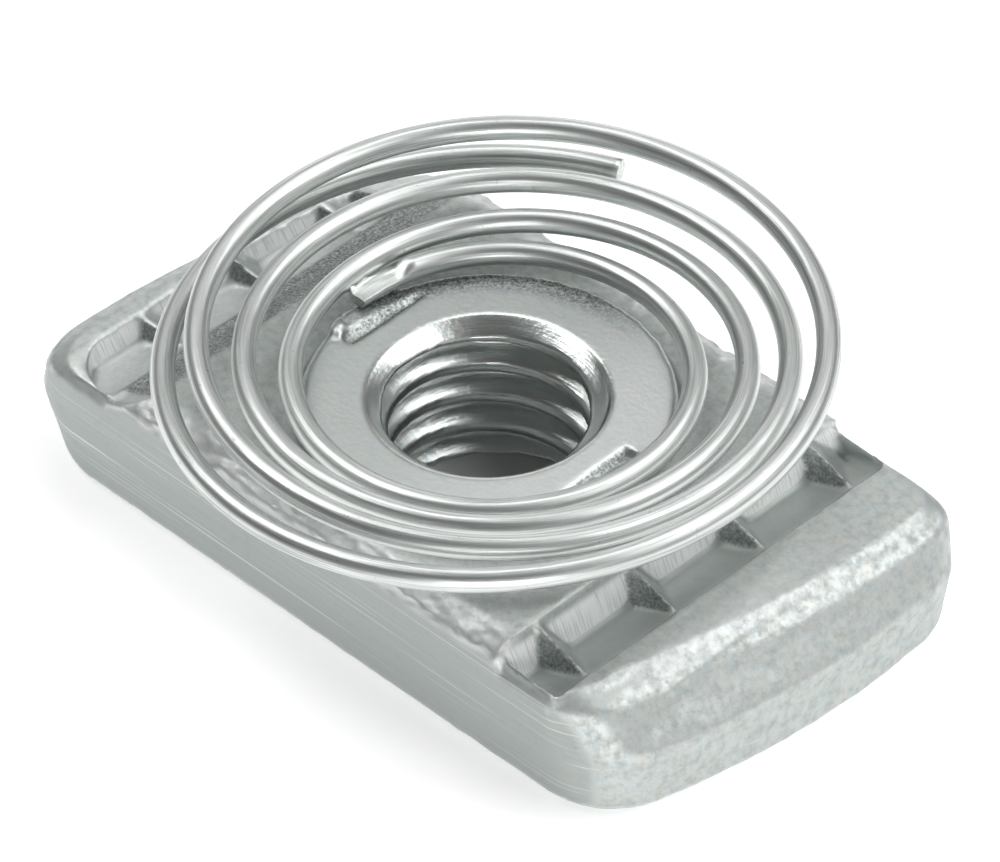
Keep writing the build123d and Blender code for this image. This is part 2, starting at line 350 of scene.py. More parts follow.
def bore_cutter(radius, height):
    """Round bore that runs past both faces."""
    bm = bmesh.new()
    bmesh.ops.create_cone(bm, cap_ends=True, segments=FACETS, radius1=radius, radius2=radius, depth=height * 3)
    return make_object("bore_cutter", bm)


def countersink_cutter(mouth, bore, top, depth):
    """Countersink cone, carried on above the boss."""
    bm = bmesh.new()
    past = 1.0
    flare = mouth + past * (mouth - bore) / depth
    bmesh.ops.create_cone(bm, cap_ends=True, segments=FACETS, radius1=bore - 0.5 * (mouth - bore) / depth,
                          radius2=flare, depth=depth + past + 0.5)
    bmesh.ops.translate(bm, vec=(0, 0, top - depth + (depth + past - 0.5) / 2), verts=bm.verts)
    return make_object("countersink_cutter", bm)


def thread_cutter(major, pitch, bore, height, start):
    """The V that the tap cuts, swept along its helix by a spin that climbs."""
    flank = math.tan(math.radians(30))
    root = pitch / 16
    inner = bore - 0.2
    half_in = root + (major - inner) * flank
    low = -pitch
    turns = math.ceil((height + 2 * pitch) / pitch)
    bm = bmesh.new()
    corners = [(inner, -half_in), (major, -root), (major, root), (inner, half_in)]
    ring = [bm.verts.new((radius, 0, low + z)) for radius, z in corners]
    edges = [bm.edges.new((ring[i], ring[(i + 1) % 4])) for i in range(4)]
    bmesh.ops.spin(bm, geom=ring + edges, cent=(0, 0, 0), axis=(0, 0, 1), dvec=(0, 0, pitch / TAP_STEPS),
                   angle=2 * math.pi * turns, steps=TAP_STEPS * turns, use_merge=False, use_duplicate=False)
    bmesh.ops.holes_fill(bm, edges=bm.edges, sides=4)
    bmesh.ops.rotate(bm, cent=(0, 0, 0), matrix=Matrix.Rotation(start, 3, "Z"), verts=bm.verts)
    bmesh.ops.recalc_face_normals(bm, faces=bm.faces)
    return make_object("thread_cutter", bm)


def keep_inside(mesh):
    """Holds a finished mesh, in metres, inside the box of the exact part."""
    put_points(mesh, np.clip(points_of(mesh), CAD_BOX[0], CAD_BOX[1]))


def cut(body, cutter):
    """Takes a cutter's volume off the body and discards the cutter."""
    change = body.modifiers.new("cut", "BOOLEAN")
    change.operation = "DIFFERENCE"
    change.solver = "EXACT"
    change.object = cutter
    settle(body)
    discard(cutter)


def chisel_cutter(side, top):
    """A square chisel on edge, drawn to a point at the mark's sharp end."""
    bm = bmesh.new()
    bmesh.ops.create_cube(bm, size=1.0)
    bmesh.ops.rotate(bm, cent=(0, 0, 0), matrix=Matrix.Rotation(math.radians(45), 3, "Y"), verts=bm.verts)
    bmesh.ops.scale(bm, vec=CHISEL_SIZE, verts=bm.verts)
    sharp = [v for v in bm.verts if v.co.y < 0]
    bmesh.ops.scale(bm, vec=(0.35, 1, 0.45), verts=sharp)
    bmesh.ops.rotate(bm, cent=(0, 0, 0), matrix=Matrix.Rotation(math.radians(-3), 3, "Z"), verts=bm.verts)
    bmesh.ops.translate(bm, vec=(*CHISEL_PLACE, top), verts=bm.verts)
    if side < 0:
        bmesh.ops.rotate(bm, cent=(0, 0, 0), matrix=Matrix.Rotation(math.pi, 3, "Z"), verts=bm.verts)
    return make_object("chisel_cutter", bm)


def raise_burr(bm, centre, size, turn):
    """A lump of metal pushed up beside a stake mark: centre and half sizes in mm, turn about Z in degrees."""
    lump = bmesh.ops.create_icosphere(bm, subdivisions=3, radius=1.0)["verts"]
    bmesh.ops.scale(bm, vec=size, verts=lump)
    bmesh.ops.rotate(bm, cent=(0, 0, 0), matrix=Matrix.Rotation(math.radians(turn), 3, "Z"), verts=lump)
    bmesh.ops.translate(bm, vec=centre, verts=lump)


def raise_burrs(body, top):
    """Both stake marks pushed metal up towards the wire, at their blunt ends and along their outer edges."""
    bm = bmesh.new()
    bm.from_mesh(body.data)
    for side in (1, -1):
        for x, y, lift, size, turn in STAKE_BURRS:
            raise_burr(bm, (side * x, side * y, top + lift), size, turn)
    bm.to_mesh(body.data)
    bm.free()


# place, lift over the boss, half sizes and turn of each lump by the stake mark, in mm and degrees
STAKE_BURRS = (
    (6.95, 1.50, 0.04, (0.36, 0.28, 0.20), 0),
    (6.98, 1.22, 0.12, (0.24, 0.20, 0.14), 20),
    (7.30, 1.02, 0.02, (0.16, 0.42, 0.15), -5),
    (7.40, 0.05, 0.00, (0.12, 0.75, 0.11), -8),
    (7.22, -1.25, 0.00, (0.10, 0.85, 0.08), -8),
)


def neighbours_mean(mesh, rows, rounds):
    """Rows averaged with their edge neighbours, a number of times."""
    pairs = np.empty(len(mesh.edges) * 2, dtype=np.int32)
    mesh.edges.foreach_get("vertices", pairs)
    pairs = pairs.reshape(-1, 2)
    count = np.bincount(pairs.ravel(), minlength=len(rows)).astype(float)
    for _ in range(rounds):
        total = np.zeros_like(rows)
        for axis in range(rows.shape[1]):
            total[:, axis] = (np.bincount(pairs[:, 0], rows[pairs[:, 1], axis], len(rows))
                              + np.bincount(pairs[:, 1], rows[pairs[:, 0], axis], len(rows)))
        rows = total / count[:, None]
    return rows


def in_bore(rows):
    """1 inside the bore and countersink, 0 outside."""
    return step_up(-np.hypot(rows[:, 0], rows[:, 1]), -5.2, -4.95)


def torn_lip(rows):
    """1 along the central land's long top edges, 0 away from them."""
    x, y, z = rows.T
    return step_up(np.abs(y), 8.0, 8.6) * step_up(z, 4.9, 5.3) * step_up(-np.abs(x), -10.2, -9.8)


def smooth_bore(mesh):
    """Evens the tapped surface, which the tap leaves smooth."""
    rows = points_of(mesh)
    even = neighbours_mean(mesh, rows, 2)
    share = 0.8 * in_bore(rows)[:, None]
    put_points(mesh, rows + (even - rows) * share)


def wear_edges(mesh, depth):
    """Rounds the sharp outer edges unevenly and returns how proud each point stands."""
    rows = points_of(mesh)
    normals = points_of(mesh, "normal")
    smooth = neighbours_mean(mesh, rows, 6)
    proud = np.sum((rows - smooth) * normals, axis=1)
    ragged = 0.55 + 0.6 * grain(rows, 0.8, 1)
    outer = step_up(proud, 0.012, 0.06) * (1 - in_bore(rows))
    put_points(mesh, rows - normals * (outer * np.clip(ragged, 0, 1.3) * depth)[:, None])
    return proud


def flatten_ends(mesh, depth):
    """Draws each end wall in a little between its crest and the soft crease."""
    rows = points_of(mesh)
    normals = neighbours_mean(mesh, points_of(mesh, "normal"), 4)
    x, _, z = rows.T
    hump = step_up(z, CREASE, SHOULDER) * (1 - step_up(z, SHOULDER, END_TOP))
    level = normals * (1, 1, 0)
    level /= np.maximum(np.linalg.norm(level, axis=1), 0.05)[:, None]
    facing = step_up(np.abs(level[:, 0]), 0.6, 0.98)
    outer = step_up(np.abs(x), 14.9, 15.6)
    put_points(mesh, rows - level * (depth * hump * facing * outer)[:, None])


def lean_walls(mesh, lean):
    """Leans the punched walls back: their feet move out and up, and the trough floors with them."""
    rows = points_of(mesh)
    x, y, z = rows.T
    window = step_up(z, 3.2, 3.4) * (1 - step_up(np.abs(y), 8.95, 9.2))
    inner = 1 - step_up(np.abs(y), 7.0, 8.6)
    for wall_x, top in TROUGHS:
        across_floor = np.clip((wall_x + 2.7 - x) / 2.4, 0, 1) * step_up(x, wall_x - 0.3, wall_x - 0.1)
        share = lean * window * across_floor * np.clip((top - z) / (top - 3.6), 0, 1)
        rows = rows + np.column_stack([0.53 * share, -0.52 * share * inner, 0.67 * share])
    put_points(mesh, rows)


def scale_skin(mesh, depth):
    """Sinks the forged surfaces unevenly: mottled on lands and ends, nearly flat on the long sides."""
    rows = points_of(mesh)
    normals = points_of(mesh, "normal")
    x, y, _ = rows.T
    ends = step_up(np.abs(x), 9.5, 11.0)
    boss = step_up(-np.hypot(x, y), -7.6, -7.3)
    flat_side = step_up(np.abs(normals[:, 1]), 0.85, 0.95) * (1 - ends)
    fine = grain(rows, 0.5, 2)
    broad = grain(rows * (0.6, 1, 1), 1.6, 3, 2)
    amount = (0.5 + 0.5 * ends) * (1 - 0.8 * boss) * (1 - 0.7 * flat_side) * (1 - in_bore(rows))
    drop = depth * amount * (1.0 + 0.8 * fine + 0.8 * broad)
    # the central land's long edges were left torn and lumpy by the forging die
    lip = torn_lip(rows)
    drop = drop + 0.11 * lip * np.clip(0.5 + 0.9 * grain(rows * (0.7, 1, 1), 0.6, 4), 0, 1.4)
    put_points(mesh, rows - normals * np.clip(drop, 0, None)[:, None])


def mark_finishes(mesh, proud):
    """Marks how each part of the skin was made, for the finish: forged, drawn, sheared, turned or torn, and where
    shade and light are painted.
    """
    rows = points_of(mesh)
    normals = neighbours_mean(mesh, points_of(mesh, "normal"), 3)
    x, y, z = rows.T
    reach = np.hypot(x, y)
    turned_skin = step_up(-reach, -5.0, -4.85)
    on_boss = step_up(-reach, -7.5, -7.3) * step_up(z, 6.2, 6.5)
    drawn = step_up(np.abs(normals[:, 1]), 0.75, 0.9) * step_up(np.abs(y), 8.6, 9.0)
    trough = step_up(np.abs(x), 9.7, 10.0) * step_up(-np.abs(x), -14.9, -14.7)
    trough = trough * step_up(-z, -5.6, -5.3) * step_up(z, 3.3, 3.5) * step_up(-x, -14.2, -13.9)
    wall = trough * step_up(-np.abs(y), -9.15, -8.95) * step_up(normals[:, 0], 0.6, 0.8)
    inside = step_up(-np.abs(y), -8.6, -8.3)
    rib_flank = trough * inside * step_up(-normals[:, 1], 0.4, 0.6)
    slope = inside * step_up(-x, 9.8, 10.2) * step_up(x, -12.3, -11.8) * step_up(z, 3.6, 4.0) * (1 - wall)
    away = np.degrees(np.arccos(np.clip((y - x) / (math.sqrt(2) * np.maximum(reach, 0.1)), -1, 1)))
    # the spring's rub band on the boss's back rim, darkened further as painted shadow under the wire
    rub_and_wire_shadow = on_boss * step_up(reach, 5.9, 6.6) * step_up(-away, -70, -30)
    side = np.sign(x)
    mark = step_up(side * x, 5.65, 5.75) * step_up(-side * x, -7.45, -7.3)
    mark = mark * step_up(side * y, -2.9, -2.7) * step_up(-side * y, -1.6, -1.4)
    sunk = mark * (1 - step_up(z, BOSS_TOP / MM - 0.08, BOSS_TOP / MM - 0.02)) * step_up(z, 6.0, 6.1)
    inner_face = step_up(side * normals[:, 0], 0.05, 0.3)
    flat = step_up(normals[:, 2], 0.8, 0.95)
    # painted shade: creases and the right trough's flat floor are darkened
    right_floor = trough * inside * flat * step_up(x, 0.0, 1.0) * step_up(-z, -4.95, -4.8)
    put_attribute(mesh, "hollow", np.maximum(step_up(-proud, 0.01, 0.06), right_floor))
    put_attribute(mesh, "turned", turned_skin)
    put_attribute(mesh, "drawn", drawn)
    put_attribute(mesh, "sheared", wall)
    lip = torn_lip(rows)
    # painted light: flat tops on the near end land, the boss's right half and the left trough's floor are made
    # lighter
    near_land = step_up(x, 13.2, 13.8) * step_up(-y, -6.0, 0.0)
    painted_top_light = 0.35 * flat * np.maximum(near_land, on_boss * step_up(x, -1.0, 5.0))
    painted_top_light = painted_top_light + 0.35 * trough * flat * step_up(-x, 0.0, 1.0) * (1 - slope)
    put_attribute(mesh, "clean", np.maximum(wall, painted_top_light + 0.6 * lip))
    # painted shade, in dark specks: the ribs' flanks that face -Y, the left trough's slope and the insides of the
    # stake marks, darker on their outward faces, with the rub band
    speckled_shade = 0.7 * rib_flank + 0.9 * slope + rub_and_wire_shadow + sunk * (0.5 + 0.5 * inner_face)
    put_attribute(mesh, "torn", np.clip(speckled_shade, 0, 1))
    put_attribute(mesh, "cast", np.clip(1.0 - 0.8 * drawn - 0.8 * wall - 0.7 * on_boss - turned_skin, 0.05, 1.0))


class SPRINGNUT_OT_nut_body(bpy.types.Operator):
    """Build the forged nut body with its cut thread and worn edges"""

    bl_idname = "springnut.nut_body"
    bl_label = "Nut body"

    def execute(self, context):
        sizes = context.scene.spring_nut
        height = BOSS_TOP / MM
        bore = MINOR_RADIUS / MM
        major = sizes.major_diameter / MM / 2
        body = make_object("zinc_nut", node_copy("nut_body"))
        depth = height - BORE_WALL / MM
        cut(body, bore_cutter(bore, height))
        cut(body, countersink_cutter(bore + depth * math.sqrt(3), bore, height, depth))
        cut(body, thread_cutter(major, sizes.pitch / MM, bore, height, sizes.thread_start))
        cut(body, chisel_cutter(1, height))
        cut(body, chisel_cutter(-1, height))
        raise_burrs(body, height)
        skin = body.modifiers.new("skin", "REMESH")
        skin.mode = "VOXEL"
        skin.voxel_size = sizes.skin / MM
        settle(body)
        flatten_ends(body.data, sizes.end_flat / MM)
        lean_walls(body.data, sizes.wall_lean / MM)
        smooth_bore(body.data)
        proud = wear_edges(body.data, sizes.edge_wear / MM)
        put_attribute(body.data, "worn", step_up(proud, 0.02, 0.07))
        mark_finishes(body.data, proud)
        scale_skin(body.data, sizes.scale_depth / MM)
        thin = body.modifiers.new("thin", "DECIMATE")
        thin.ratio = min(1.0, NUT_TRIANGLES / (2 * len(body.data.polygons)))
        settle(body)
        body.data.transform(Matrix.Scale(MM, 4))
        keep_inside(body.data)
        body.data.shade_smooth()
        body.data.materials.clear()
        body.data.materials.append(zinc_forged(context.scene.spring_nut_finish))
        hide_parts("nut_body")
        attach(body, "root")
        return {"FINISHED"}


# ---------------------------------------------------------------- conical spring, in millimetres


def coil_line(sizes):
    """Points down the middle of the wire, evenly spaced from the staked end to the free end."""
    u = np.linspace(0.0, 1.0, 4000)
    reach = sizes.seat_reach + (sizes.end_reach - sizes.seat_reach) * u
    lift = sizes.seat_lift + (sizes.end_lift - sizes.seat_lift) * u
    for k in range(len(sizes.reach_waves)):
        wave = np.sin((k + 1) * np.pi * u)
        reach = reach + sizes.reach_waves[k] * wave
        lift = lift + sizes.lift_waves[k] * wave
    seat, end = np.array(sizes.seat_shift), np.array(sizes.end_shift)
    middle = seat + (end - seat) * u[:, None]
    angle = sizes.start_angle - 2 * np.pi * sizes.turns * u
    wire = sizes.wire_diameter / MM
    radius = sizes.boss_diameter / MM / 2 + wire * reach
    line = np.column_stack([middle[:, 0] + radius * np.cos(angle), middle[:, 1] + radius * np.sin(angle),
                            BOSS_TOP / MM + wire * lift])
    gone = np.concatenate([[0.0], np.cumsum(np.linalg.norm(np.diff(line, axis=0), axis=1))])
    count = round(gone[-1] / (sizes.step / MM))
    even = np.linspace(0, gone[-1], count)
    return np.column_stack([np.interp(even, gone, line[:, i]) for i in range(3)]), even


def stations(line):
    """A matrix at each point: x out of the coil, y up, z along the wire."""
    ahead = np.gradient(line, axis=0)
    ahead /= np.linalg.norm(ahead, axis=1)[:, None]
    made = []
    for point, along in zip(line, ahead):
        along = Vector(along)
        out = along.cross(Vector((0, 0, -1))).normalized()
        turn = Matrix((out, along.cross(out), along)).transposed()
        made.append(Matrix.Translation(Vector(point)) @ turn.to_4x4())
    return made


def cut_end(bm, ring, place, radius, ahead):
    """A sheared end: the edge rounds over a little, then the face closes."""
    edges = [e for e in bm.edges if e.verts[0] in ring and e.verts[1] in ring]
    for shrink, advance in ((0.93, 0.05), (0.8, 0.07), (0.5, 0.06)):
        made = bmesh.ops.extrude_edge_only(bm, edges=edges)["geom"]
        ring = [v for v in made if isinstance(v, bmesh.types.BMVert)]
        edges = [e for e in made if isinstance(e, bmesh.types.BMEdge)]
        edges = [e for e in edges if e.verts[0] in ring and e.verts[1] in ring]
        middle = place @ Vector((0, 0, ahead * advance * radius))
        wide = sum((v.co for v in ring), Vector()) / len(ring)
        span = max((v.co - wide).length for v in ring)
        bmesh.ops.translate(bm, vec=middle - wide, verts=ring)
        size = shrink * radius / span
        bmesh.ops.scale(bm, vec=(size, size, size), space=Matrix.Translation(-middle), verts=ring)
    bmesh.ops.contextual_create(bm, geom=edges)


def wire_tube(line, radius, sides):
    """The round wire: one ring carried from station to station, with both ends sheared off."""
    places = stations(line)
    bm = bmesh.new()
    ring = bmesh.ops.create_circle(bm, segments=sides, radius=radius)["verts"]
    bmesh.ops.transform(bm, matrix=places[0], verts=ring)
    first = list(ring)
    edges = list(bm.edges)
    for before, after in zip(places, places[1:]):
        made = bmesh.ops.extrude_edge_only(bm, edges=edges)["geom"]
        ring = [v for v in made if isinstance(v, bmesh.types.BMVert)]
        kept = set(ring)
        edges = [e for e in made if isinstance(e, bmesh.types.BMEdge) and e.verts[0] in kept and e.verts[1] in kept]
        bmesh.ops.transform(bm, matrix=after @ before.inverted(), verts=ring)
    cut_end(bm, set(ring), places[-1], radius, 1)
    cut_end(bm, set(first), places[0], radius, -1)
    bmesh.ops.recalc_face_normals(bm, faces=bm.faces)
    return bm


def wire_frame_rows(mesh, line, even):
    """For each vertex, its place in the wire's own frame: along, outward and upward."""
    rows = points_of(mesh)
    tree = KDTree(len(line))
    for i, point in enumerate(line):
        tree.insert(point, i)
    tree.balance()
    places = [place.inverted() for place in stations(line)]
    local = np.empty_like(rows)
    for i, row in enumerate(rows):
        near = tree.find(row)[1]
        x, y, z = places[near] @ Vector(row)
        local[i] = (even[near] + z, x, y)
    return local


def crush_seat(rows, local, line, sizes):
    """Staking squashed the first length of the wire: its top is flat and a little ragged there."""
    along, _, up = local.T
    radius = sizes.wire_diameter / MM / 2
    places = stations(line)
    step = sizes.step / MM
    near = np.clip(np.round(along / step).astype(int), 0, len(places) - 1)
    rise = np.array([tuple(places[i].col[1].xyz) for i in near])
    flat = step_up(-along, -sizes.crushed / MM - 0.15, -sizes.crushed / MM + 0.1)
    level = radius * (0.1 + 0.1 * grain(local, 0.25, 8, 2)) + 0.04 * along
    drop = np.clip(up - level, 0, None) * flat
    return rows - rise * drop[:, None]


class SPRINGNUT_OT_cone_spring(bpy.types.Operator):
    """Build the conical spring from drawn wire with sheared ends"""

    bl_idname = "springnut.cone_spring"
    bl_label = "Conical spring"

    def execute(self, context):
        sizes = context.scene.spring_nut_wire
        line, even = coil_line(sizes)
        radius = sizes.wire_diameter / MM / 2
        wire = make_object("zinc_wire", wire_tube(line, radius, sizes.sides))
        local = wire_frame_rows(wire.data, line, even)
        layer = wire.data.attributes.new("wire", "FLOAT_VECTOR", "POINT")
        layer.data.foreach_set("vector", local.astype(np.float32).ravel())
        rows = points_of(wire.data)
        normals = points_of(wire.data, "normal")
        rows = crush_seat(rows, local, line, sizes)
        draw = grain(local * (0.12, 1, 1), 0.35, 5, 2)
        dents = np.clip(grain(local * (0.45, 1, 1), 0.5, 6, 3) - 0.35, 0, None)
        put_points(wire.data, rows - normals * (0.005 + 0.005 * draw + 0.03 * dents)[:, None])
        wire.data.transform(Matrix.Scale(MM, 4))
        keep_inside(wire.data)
        wire.data.shade_smooth()
        wire.data.materials.append(zinc_wire(context.scene.spring_nut_finish))
        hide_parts("cone_spring")
        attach(wire, "root")
        return {"FINISHED"}


# ---------------------------------------------------------------- finishes


def across(size):
    """Noise scale for features of this many millimetres."""
    return 1 / (size * MM)


def stretched(tree, place, sizes):
    """Coordinates in which the noise's features have these sizes in x, y and z, in millimetres."""
    return add(tree, "ShaderNodeMapping", {"vector_type": "POINT"}, {"Scale": [across(size) for size in sizes]},
               {"Vector": place}).outputs["Vector"]


def zinc_forged(finish):
    """Bright zinc electroplate on forged and tumbled steel.

    Tells as a soft silver grey that is nearly matt, cloudy where the forged skin is rough, and
    brighter where tumbling wore the edges smooth. Painted shade darkens its creases, the right
    trough floor, the long sides, the ribs' flanks, the left slope, the stake marks and the boss's
    back rim; painted light brightens chosen flat tops.
    """
    material, tree = new_material("zinc_plate_on_forged_steel")
    place = add(tree, "ShaderNodeTexCoord").outputs["Object"]
    worn, hollow, cast, sheared, clean, drawn, turned_skin, torn = (
        add(tree, "ShaderNodeAttribute", {"attribute_name": mark}).outputs["Fac"]
        for mark in ("worn", "hollow", "cast", "sheared", "clean", "drawn", "turned", "torn"))
    # cloudy patches of the plate, about half a millimetre across
    cloud = add(tree, "ShaderNodeTexNoise", values={"Scale": across(0.42), "Detail": 6.0, "Roughness": 0.7},
                links={"Vector": place}).outputs["Fac"]
    cloudy = add(tree, "ShaderNodeMapRange", values={"From Min": 0.42, "From Max": 0.68},
                 links={"Value": cloud}).outputs["Result"]
    # grain of the forged skin
    fine = add(tree, "ShaderNodeTexNoise", values={"Scale": across(0.22), "Detail": 3.0},
               links={"Vector": place}).outputs["Fac"]
    # draw lines on the long sides run with the bar
    along = stretched(tree, place, (9, 0.3, 0.06))
    lines = add(tree, "ShaderNodeTexNoise", values={"Scale": 1.0, "Detail": 3.0, "Roughness": 0.6},
                links={"Vector": along}).outputs["Fac"]
    # shear lines on the punched walls run down them
    down = stretched(tree, place, (1.5, 0.07, 1.8))
    tears = add(tree, "ShaderNodeTexNoise", values={"Scale": 1.0, "Detail": 2.0, "Roughness": 0.6},
                links={"Vector": down}).outputs["Fac"]
    # faint interference tints of the plate
    tint = add(tree, "ShaderNodeTexNoise", values={"Scale": across(0.45), "Detail": 5.0, "Roughness": 0.75},
               links={"Vector": place})
    hues = add(tree, "ShaderNodeValToRGB", links={"Fac": tint.outputs["Fac"]})
    ramp = hues.color_ramp
    ramp.elements[0].position, ramp.elements[0].color = 0.32, linear(finish.blue_hex)
    ramp.elements[1].position, ramp.elements[1].color = 0.70, linear(finish.straw_hex)
    middle = ramp.elements.new(0.5)
    middle.color = linear(finish.zinc_hex)
    # dark specks a tenth of a millimetre across, which carry the painted shade on the ribs' flanks, the left slope,
    # the stake marks and the boss's back rim
    speck = add(tree, "ShaderNodeTexNoise", values={"Scale": across(0.12), "Detail": 4.0, "Roughness": 0.75},
                links={"Vector": place}).outputs["Fac"]
    speckled_shade = add(tree, "ShaderNodeMapRange", values={"From Min": 0.34, "From Max": 0.60},
                 links={"Value": speck}).outputs["Result"]
    shade_specks = add(tree, "ShaderNodeMath", {"operation": "MULTIPLY"}, links={0: speckled_shade, 1: torn}).outputs[0]
    mottle_and_side_shade = add(tree, "ShaderNodeMath", {"operation": "MULTIPLY"}, links={0: cloudy, 1: cast}).outputs[0]
    # painted shade: the long sides are darkened as a whole, with the die lines as real streaks in it
    side_shade_and_die_lines = add(tree, "ShaderNodeMapRange", links={"Value": lines},
                  values={"From Min": 0.3, "From Max": 0.7, "To Min": 1.2, "To Max": 0.85}).outputs["Result"]
    side = add(tree, "ShaderNodeMath", {"operation": "MULTIPLY"}, links={0: side_shade_and_die_lines, 1: drawn}).outputs[0]
    mottle_and_side_shade = add(tree, "ShaderNodeMath", {"operation": "MAXIMUM"}, links={0: mottle_and_side_shade, 1: side}).outputs[0]
    # painted shade in creases and on the right trough floor joins the mottle and the side shade
    mottle_and_painted_shade = add(tree, "ShaderNodeMath", {"operation": "MAXIMUM"}, links={0: mottle_and_side_shade, 1: hollow}).outputs[0]
    shade = add(tree, "ShaderNodeMath", {"operation": "MULTIPLY"}, {1: 0.30}, {0: mottle_and_painted_shade}).outputs[0]
    darker = add(tree, "ShaderNodeMix", {"data_type": "RGBA"}, {"B": linear(finish.dull_and_shade_hex)},
                 {"Factor": shade, "A": hues.outputs["Color"]}).outputs["Result"]
    wear = add(tree, "ShaderNodeMath", {"operation": "MULTIPLY"}, {1: 0.6}, {0: worn}).outputs[0]
    # long fine scratches where the bar slid through the die
    run = stretched(tree, place, (11, 4, 0.10))
    scored = add(tree, "ShaderNodeTexNoise", values={"Scale": 1.0, "Detail": 1.0},
                 links={"Vector": run}).outputs["Fac"]
    score = add(tree, "ShaderNodeMapRange", values={"From Min": 0.64, "From Max": 0.74, "To Max": 0.5},
                links={"Value": scored}).outputs["Result"]
    scratch = add(tree, "ShaderNodeMath", {"operation": "MULTIPLY"}, links={0: score, 1: drawn}).outputs[0]
    wear = add(tree, "ShaderNodeMath", {"operation": "MAXIMUM"}, links={0: wear, 1: scratch}).outputs[0]
    # painted light on chosen flat tops comes in here with the bright walls and lips
    lively = add(tree, "ShaderNodeMath", {"operation": "MAXIMUM"}, links={0: wear, 1: clean}).outputs[0]
    bright = add(tree, "ShaderNodeMix", {"data_type": "RGBA"}, {"B": linear(finish.worn_hex)},
                 {"Factor": lively, "A": darker}).outputs["Result"]
    colour = add(tree, "ShaderNodeMix", {"data_type": "RGBA"}, {"B": linear(finish.shade_speck_hex)},
                 {"Factor": shade_specks, "A": bright}).outputs["Result"]
    smoothest = finish.nut_roughness
    matt = add(tree, "ShaderNodeMapRange", values={"To Min": smoothest, "To Max": smoothest + 0.18},
               links={"Value": mottle_and_painted_shade}).outputs["Result"]
    forged = add(tree, "ShaderNodeMath", {"operation": "MULTIPLY_ADD"}, {1: 0.10}, {0: cast, 2: matt}).outputs[0]
    coarse = add(tree, "ShaderNodeMath", {"operation": "MULTIPLY_ADD"}, {1: 0.2},
                 {0: sheared, 2: forged}).outputs[0]
    rough = add(tree, "ShaderNodeMapRange", values={"To Max": finish.turned_roughness},
                links={"Value": turned_skin, "To Min": coarse}).outputs["Result"]
    skin = add(tree, "ShaderNodeBump", values={"Strength": 1.0, "Distance": 0.010 * MM}, links={"Height": fine})
    swell = add(tree, "ShaderNodeBump", values={"Distance": 0.014 * MM},
                links={"Height": cloud, "Strength": cast, "Normal": skin.outputs["Normal"]})
    drag = add(tree, "ShaderNodeBump", values={"Distance": 0.006 * MM},
               links={"Height": lines, "Strength": drawn, "Normal": swell.outputs["Normal"]})
    tear = add(tree, "ShaderNodeBump", values={"Distance": 0.02 * MM},
               links={"Height": tears, "Strength": sheared, "Normal": drag.outputs["Normal"]})
    hatch = add(tree, "ShaderNodeMapRange", links={"Value": tears},
                values={"From Min": 0.35, "From Max": 0.5, "To Min": 0.35, "To Max": 0.0}).outputs["Result"]
    torn_lines = add(tree, "ShaderNodeMath", {"operation": "MULTIPLY"}, links={0: hatch, 1: sheared}).outputs[0]
    colour = add(tree, "ShaderNodeMix", {"data_type": "RGBA"}, {"B": linear(finish.dull_and_shade_hex)},
                 {"Factor": torn_lines, "A": colour}).outputs["Result"]
    # the crystals of the plate scatter light on the coarse sheared walls, so they look whiter than metal
    metal = add(tree, "ShaderNodeMapRange", values={"To Min": 1.0, "To Max": 0.05},
                links={"Value": sheared}).outputs["Result"]
    # turning lines left by the countersink and tap, a twentieth of a millimetre apart
    rings = stretched(tree, place, (3, 3, 0.05))
    turns = add(tree, "ShaderNodeTexNoise", values={"Scale": 1.0, "Detail": 2.0},
                links={"Vector": rings}).outputs["Fac"]
    lathe = add(tree, "ShaderNodeBump", values={"Distance": 0.008 * MM},
                links={"Height": turns, "Strength": turned_skin, "Normal": tear.outputs["Normal"]})
    shader = add(tree, "ShaderNodeBsdfPrincipled",
                 links={"Base Color": colour, "Metallic": metal, "Roughness": rough,
                        "Normal": lathe.outputs["Normal"]})
    add(tree, "ShaderNodeOutputMaterial", links={"Surface": shader.outputs["BSDF"]})
    return material


